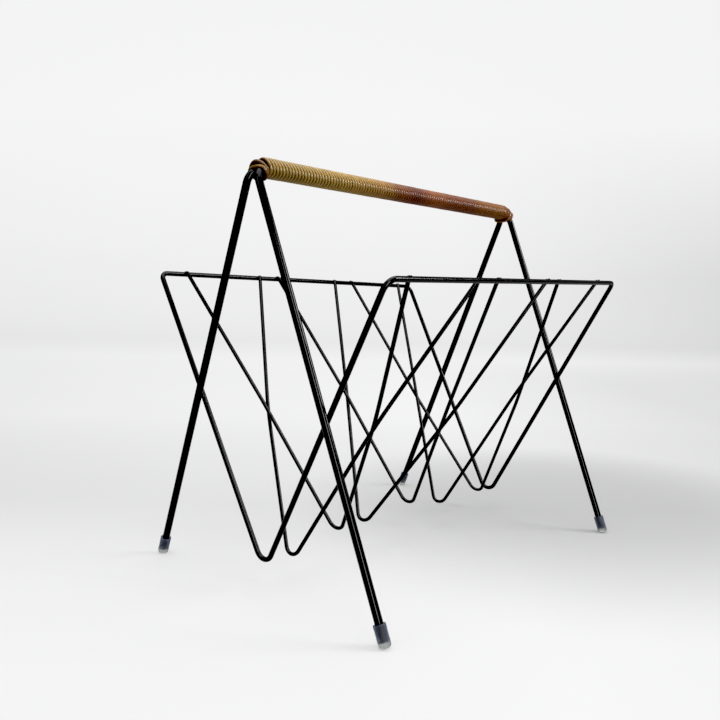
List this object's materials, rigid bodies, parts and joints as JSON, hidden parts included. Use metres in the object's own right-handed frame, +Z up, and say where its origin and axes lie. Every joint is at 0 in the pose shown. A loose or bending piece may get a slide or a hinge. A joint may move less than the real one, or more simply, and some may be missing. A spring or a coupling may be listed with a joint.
{
  "type": "magazine rack",
  "caption": "Free-standing wire magazine rack: bent-rod handle frames crossed under a cord-bound handle, with a V-shaped wire basket and capped feet.",
  "frame": {"origin": "on the floor, below the middle of the handle", "axes": "+X along the handle, +Y to the back, +Z up"},
  "size_m": [0.3777, 0.2766, 0.3467],
  "materials": {
    "rod_lacquer": "glossy black lacquer on 6 mm steel rod, worn at the high spots",
    "rim_lacquer": "glossy black lacquer on the rim rod",
    "wire_lacquer": "glossy black lacquer on thin steel wire",
    "weld_lacquer": "lacquered weld metal, slightly rough",
    "cord": "glossy round plastic cord, golden and stained red-brown in places",
    "packing": "dark red-brown strip, dull",
    "cap": "soft translucent blue-grey plastic, glossy and slightly scuffed"
  },
  "bodies": {
    "root": {"frame_front": "rod_lacquer", "frame_back": "rod_lacquer", "basket_rim": "rim_lacquer", "wire_1": "wire_lacquer", "wire_2": "wire_lacquer", "wire_3": "wire_lacquer", "wire_4": "wire_lacquer", "wire_5": "wire_lacquer", "wire_6": "wire_lacquer", "handle_core": "packing", "handle_wrap": "cord", "cap_front_left": "cap", "cap_front_right": "cap", "cap_back_left": "cap", "cap_back_right": "cap", "weld_leg_front_left": "weld_lacquer", "weld_leg_front_right": "weld_lacquer", "weld_leg_back_left": "weld_lacquer", "weld_leg_back_right": "weld_lacquer", "weld_1_back": "weld_lacquer", "weld_1_front": "weld_lacquer", "weld_2_back": "weld_lacquer", "weld_2_front": "weld_lacquer", "weld_3_back": "weld_lacquer", "weld_3_front": "weld_lacquer", "weld_4_back": "weld_lacquer", "weld_4_front": "weld_lacquer", "weld_5_back": "weld_lacquer", "weld_5_front": "weld_lacquer", "weld_6_back": "weld_lacquer", "weld_6_front": "weld_lacquer"}
  },
  "joints": []
}
